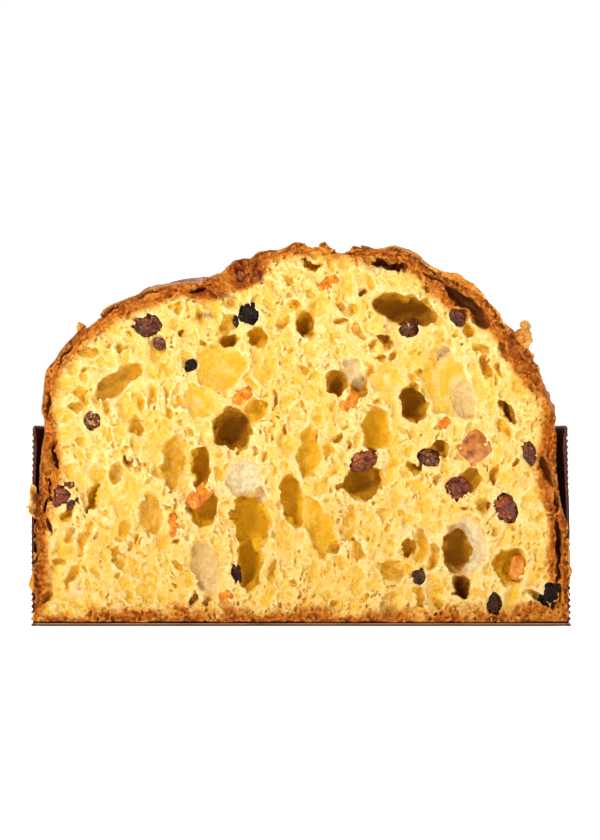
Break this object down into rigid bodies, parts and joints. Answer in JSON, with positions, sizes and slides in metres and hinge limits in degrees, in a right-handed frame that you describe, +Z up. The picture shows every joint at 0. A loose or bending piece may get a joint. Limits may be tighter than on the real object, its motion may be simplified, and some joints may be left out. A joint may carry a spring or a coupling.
{
  "type": "panettone half",
  "caption": "Half of a low domed panettone, cut down the middle: open yellow crumb with raisins and candied orange, brown crust, standing in its corrugated paper baking case.",
  "frame": {"origin": "centre of the footprint, on the underside of the paper case", "axes": "+Z up, -Y the way the cut face looks, +X to the right as the cut face is seen from the front"},
  "size_m": [0.212, 0.106, 0.1508],
  "materials": {
    "crumb": "soft yellow crumb with a brown baked crust",
    "case_paper": "dark brown corrugated paper, slightly waxy",
    "raisin": "dark, wrinkled and slightly sticky",
    "candied_orange": "translucent and glazed with sugar"
  },
  "bodies": {
    "root": {"loaf": "crumb", "case_wall": "case_paper", "case_base": "case_paper", "raisin_01": "raisin", "raisin_02": "raisin", "raisin_03": "raisin", "raisin_04": "raisin", "raisin_05": "raisin", "raisin_06": "raisin", "raisin_07": "raisin", "raisin_08": "raisin", "raisin_09": "raisin", "raisin_10": "raisin", "raisin_11": "raisin", "raisin_12": "raisin", "raisin_13": "raisin", "raisin_14": "raisin", "raisin_15": "raisin", "raisin_16": "raisin", "raisin_17": "raisin", "raisin_18": "raisin", "candied_orange_01": "candied_orange", "candied_orange_02": "candied_orange", "candied_orange_03": "candied_orange", "candied_orange_04": "candied_orange", "candied_orange_05": "candied_orange", "candied_orange_06": "candied_orange", "candied_orange_07": "candied_orange", "candied_orange_08": "candied_orange", "candied_orange_09": "candied_orange"}
  },
  "joints": []
}
